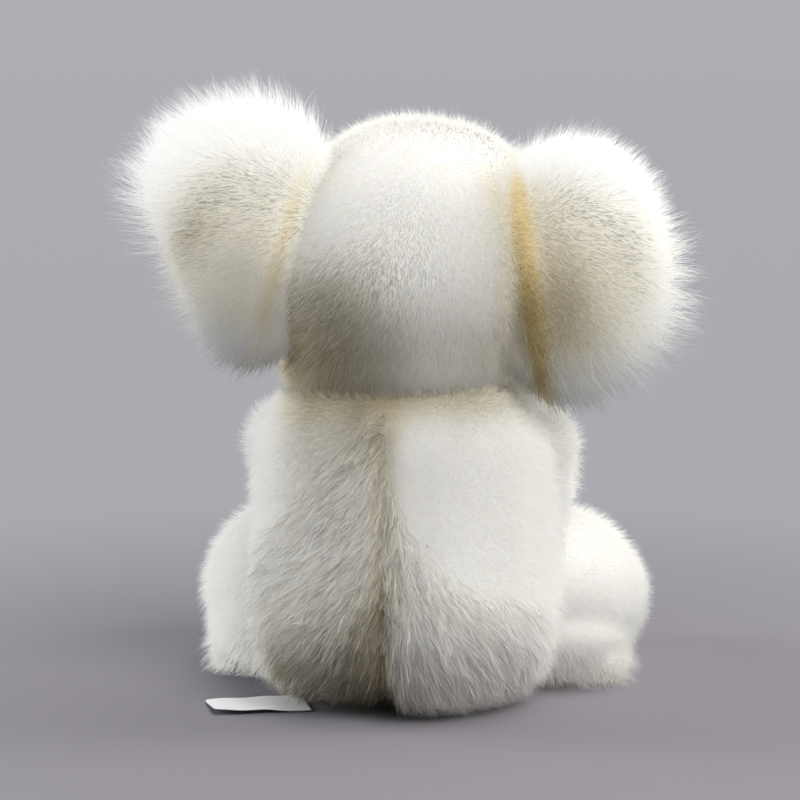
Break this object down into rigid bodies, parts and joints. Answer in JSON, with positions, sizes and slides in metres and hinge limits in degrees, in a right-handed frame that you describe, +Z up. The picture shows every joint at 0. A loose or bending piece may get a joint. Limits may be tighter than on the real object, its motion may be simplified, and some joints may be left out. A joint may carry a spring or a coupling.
{
  "type": "plush koala",
  "caption": "Seated soft toy koala in ivory pile fabric, with a large round head, wide long-haired ears, full haunches, short arms and a woven care label.",
  "frame": {"origin": "on the floor under the middle of the toy's flat seat", "axes": "+Z up, -Y the way the koala faces, +X the koala's left"},
  "size_m": [0.1948, 0.1621, 0.2104],
  "materials": {
    "body_pile": "ivory combed polyester pile, soft and matt with a faint sheen along the strands",
    "head_pile": "ivory short dense polyester pile, matt",
    "long_pile": "white long straight polyester fibre, fine and slightly glossy",
    "filling": "loose white polyester fibre",
    "seam_thread": "ivory sewing thread",
    "label": "white woven satin ribbon, blank",
    "eye": "polished black plastic dome",
    "nose": "black plastic with a satin surface",
    "washer": "plain natural plastic",
    "mouth_thread": "dark brown embroidery thread",
    "foot_pad": "pale beige brushed felt"
  },
  "bodies": {
    "torso": {"torso_cover": "body_pile", "torso_filling": "filling", "back_seam_thread": "seam_thread"},
    "neck": {"neck_filling": "filling"},
    "head": {"head_cover": "head_pile", "head_filling": "filling", "nose": "nose", "nose_washer": "washer", "mouth_thread": "mouth_thread", "eye_left": "eye", "eye_left_washer": "washer", "eye_right": "eye", "eye_right_washer": "washer"},
    "ear_left": {"ear_left_back": "head_pile", "ear_left_lining": "long_pile", "ear_left_filling": "filling"},
    "arm_left": {"arm_left_cover": "body_pile", "arm_left_filling": "filling"},
    "leg_left": {"leg_left_cover": "body_pile", "leg_left_filling": "filling", "foot_left_pad": "foot_pad"},
    "ear_right": {"ear_right_back": "head_pile", "ear_right_lining": "long_pile", "ear_right_filling": "filling"},
    "arm_right": {"arm_right_cover": "body_pile", "arm_right_filling": "filling"},
    "leg_right": {"leg_right_cover": "body_pile", "leg_right_filling": "filling", "foot_right_pad": "foot_pad"},
    "care_label": {"care_label": "label"}
  },
  "joints": [
    {"name": "neck_turn", "type": "hinge", "parent": "torso", "child": "neck", "pos_m": [0, -0.004, 0.1085], "axis": [0, 0, 1], "range_deg": [-20, 20], "stiffness_Nm_per_rad": 0.2},
    {"name": "head_nod", "type": "hinge", "parent": "neck", "child": "head", "pos_m": [0, -0.004, 0.1085], "axis": [1, 0, 0], "range_deg": [-7, 7], "stiffness_Nm_per_rad": 0.3},
    {"name": "ear_left_fold", "type": "hinge", "parent": "head", "child": "ear_left", "pos_m": [0.03656, 0.01554, 0.15451], "axis": [0.2924, 0, -0.9563], "range_deg": [-15, 15], "stiffness_Nm_per_rad": 0.02},
    {"name": "arm_left_lift", "type": "hinge", "parent": "torso", "child": "arm_left", "pos_m": [0.04297, -0.00998, 0.086], "axis": [-1, 0, 0], "range_deg": [0, 45], "stiffness_Nm_per_rad": 0.03},
    {"name": "leg_left_splay", "type": "hinge", "parent": "torso", "child": "leg_left", "pos_m": [0.0477, -0.03326, 0.0295], "axis": [0, 0, 1], "range_deg": [-10, 20], "stiffness_Nm_per_rad": 0.08},
    {"name": "ear_right_fold", "type": "hinge", "parent": "head", "child": "ear_right", "pos_m": [-0.04331, 0.01554, 0.14822], "axis": [0.1392, 0, 0.9903], "range_deg": [-15, 15], "stiffness_Nm_per_rad": 0.02},
    {"name": "arm_right_lift", "type": "hinge", "parent": "torso", "child": "arm_right", "pos_m": [-0.04297, -0.00998, 0.086], "axis": [-1, 0, 0], "range_deg": [0, 45], "stiffness_Nm_per_rad": 0.03},
    {"name": "leg_right_splay", "type": "hinge", "parent": "torso", "child": "leg_right", "pos_m": [-0.0477, -0.03326, 0.0295], "axis": [0, 0, -1], "range_deg": [-10, 20], "stiffness_Nm_per_rad": 0.08},
    {"name": "care_label_lift", "type": "hinge", "parent": "torso", "child": "care_label", "pos_m": [0.03057, 0.02654, 0.0003], "axis": [0.4695, -0.8829, 0], "range_deg": [0, 25]}
  ]
}
